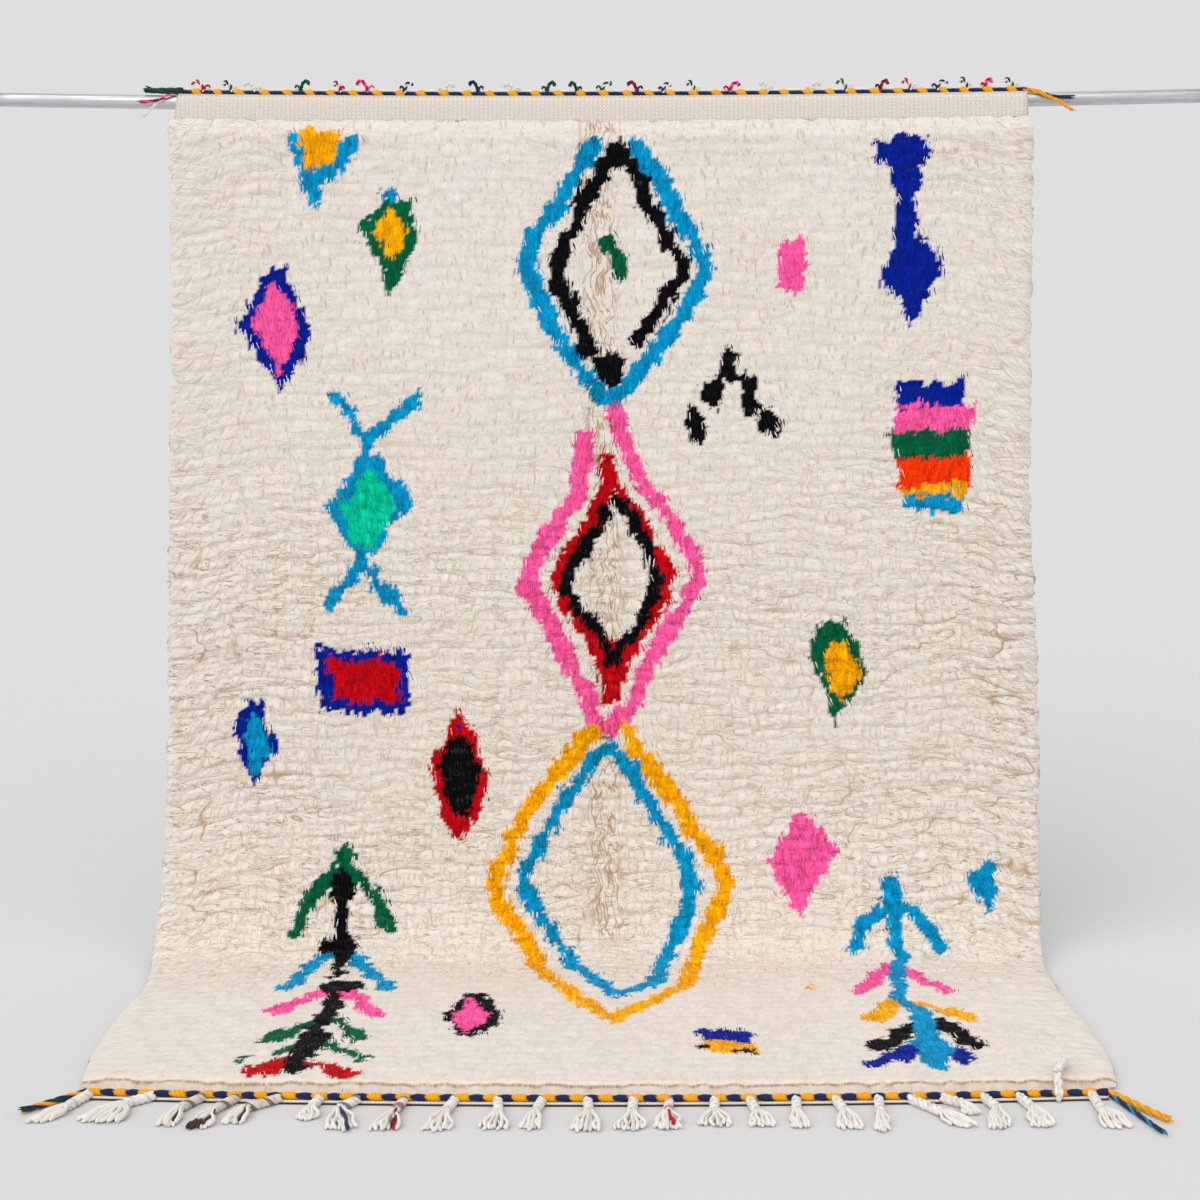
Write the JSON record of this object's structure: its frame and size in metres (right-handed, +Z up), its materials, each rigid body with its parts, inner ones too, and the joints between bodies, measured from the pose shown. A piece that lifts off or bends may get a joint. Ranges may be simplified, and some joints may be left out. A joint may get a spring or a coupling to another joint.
{
  "type": "wool pile rug hung on a rod",
  "caption": "Thick cream wool rug with bright knotted figures, hung by its flat-woven end on a steel pipe, its lower end bent out on the floor with a plait and tassels.",
  "frame": {"origin": "middle of the part's footprint, on the floor", "axes": "+Z up, the pile faces -Y, +X along the pipe to the viewer's right"},
  "size_m": [2.36, 0.841, 1.671],
  "materials": {
    "galvanised_pipe": "galvanised steel with long drawn streaks",
    "wool_pile": "cream hand-spun wool pile with knotted coloured figures",
    "plait_yarn": "golden yellow and navy wool, twisted",
    "tassel_yarn": "off-white warp yarn, twisted and cut"
  },
  "bodies": {
    "root": {"rod": "galvanised_pipe", "rug": "wool_pile", "top_plait": "plait_yarn", "bottom_plait": "plait_yarn", "tassel_01": "tassel_yarn", "tassel_02": "tassel_yarn", "tassel_03": "tassel_yarn", "tassel_04": "tassel_yarn", "tassel_05": "tassel_yarn", "tassel_06": "tassel_yarn", "tassel_07": "tassel_yarn", "tassel_08": "tassel_yarn", "tassel_09": "tassel_yarn", "tassel_10": "tassel_yarn", "tassel_11": "tassel_yarn", "tassel_12": "tassel_yarn", "tassel_13": "tassel_yarn", "tassel_14": "tassel_yarn", "tassel_15": "tassel_yarn", "tassel_16": "tassel_yarn", "tassel_17": "tassel_yarn", "tassel_18": "tassel_yarn", "tassel_19": "tassel_yarn", "tassel_20": "tassel_yarn", "tassel_21": "tassel_yarn", "tassel_22": "tassel_yarn", "tassel_23": "tassel_yarn", "tassel_24": "tassel_yarn", "tassel_25": "tassel_yarn"}
  },
  "joints": []
}
